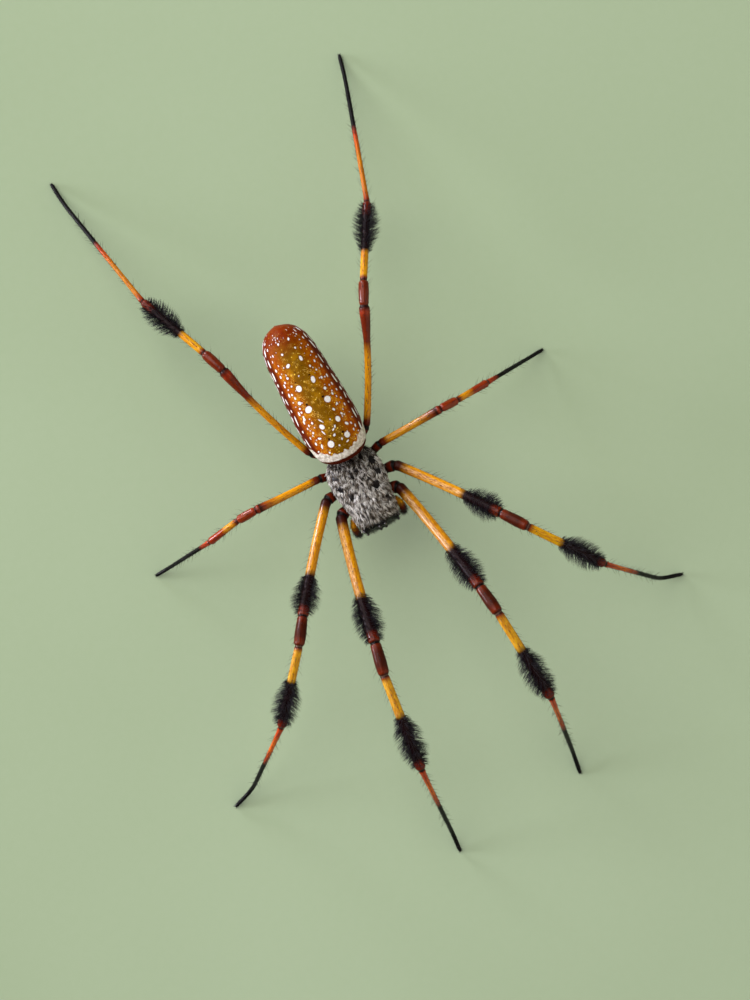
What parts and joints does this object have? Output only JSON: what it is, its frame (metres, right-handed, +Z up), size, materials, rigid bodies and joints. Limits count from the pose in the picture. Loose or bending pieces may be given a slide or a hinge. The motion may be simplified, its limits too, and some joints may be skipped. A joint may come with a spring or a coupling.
{
  "type": "golden silk orb weaver spider",
  "caption": "Life-size still model of a large long-legged orb-weaving spider with a long spotted abdomen, a silvery head shield and dark hair brushes on banded legs.",
  "frame": {"origin": "on the floor, under the middle of the part's box", "axes": "+Z up from the floor, head towards -Y, the spider's left legs towards +X"},
  "size_m": [0.0616, 0.0954, 0.0187],
  "materials": {
    "leg_cuticle": "amber to orange cuticle, banded with black bristles",
    "dark_cuticle": "dark maroon cuticle, half gloss",
    "carapace": "silver-grey hair over dark cuticle",
    "abdomen": "ochre to red-brown skin with white spots, soft sheen",
    "black_horn": "glossy black",
    "eyes": "polished black"
  },
  "bodies": {
    "root": {"abdomen": "abdomen", "carapace": "carapace", "chelicera_left": "black_horn", "chelicera_right": "black_horn", "eye_left_back_middle": "eyes", "eye_left_back_side": "eyes", "eye_left_front_middle": "eyes", "eye_left_front_side": "eyes", "eye_right_back_middle": "eyes", "eye_right_back_side": "eyes", "eye_right_front_middle": "eyes", "eye_right_front_side": "eyes", "fang_left": "black_horn", "fang_right": "black_horn", "leg_left_1_coxa": "dark_cuticle", "leg_left_1_femur": "leg_cuticle", "leg_left_1_metatarsus": "leg_cuticle", "leg_left_1_patella": "leg_cuticle", "leg_left_1_tibia": "leg_cuticle", "leg_left_2_coxa": "dark_cuticle", "leg_left_2_femur": "leg_cuticle", "leg_left_2_metatarsus": "leg_cuticle", "leg_left_2_patella": "leg_cuticle", "leg_left_2_tibia": "leg_cuticle", "leg_left_3_coxa": "dark_cuticle", "leg_left_3_femur": "leg_cuticle", "leg_left_3_metatarsus": "leg_cuticle", "leg_left_3_patella": "leg_cuticle", "leg_left_3_tibia": "leg_cuticle", "leg_left_4_coxa": "dark_cuticle", "leg_left_4_femur": "leg_cuticle", "leg_left_4_metatarsus": "leg_cuticle", "leg_left_4_patella": "leg_cuticle", "leg_left_4_tibia": "leg_cuticle", "leg_right_1_coxa": "dark_cuticle", "leg_right_1_femur": "leg_cuticle", "leg_right_1_metatarsus": "leg_cuticle", "leg_right_1_patella": "leg_cuticle", "leg_right_1_tibia": "leg_cuticle", "leg_right_2_coxa": "dark_cuticle", "leg_right_2_femur": "leg_cuticle", "leg_right_2_metatarsus": "leg_cuticle", "leg_right_2_patella": "leg_cuticle", "leg_right_2_tibia": "leg_cuticle", "leg_right_3_coxa": "dark_cuticle", "leg_right_3_femur": "leg_cuticle", "leg_right_3_metatarsus": "leg_cuticle", "leg_right_3_patella": "leg_cuticle", "leg_right_3_tibia": "leg_cuticle", "leg_right_4_coxa": "dark_cuticle", "leg_right_4_femur": "leg_cuticle", "leg_right_4_metatarsus": "leg_cuticle", "leg_right_4_patella": "leg_cuticle", "leg_right_4_tibia": "leg_cuticle", "pedicel": "dark_cuticle", "pedipalp_left": "leg_cuticle", "pedipalp_right": "leg_cuticle", "spinnerets": "dark_cuticle", "sternum": "dark_cuticle"}
  },
  "joints": []
}
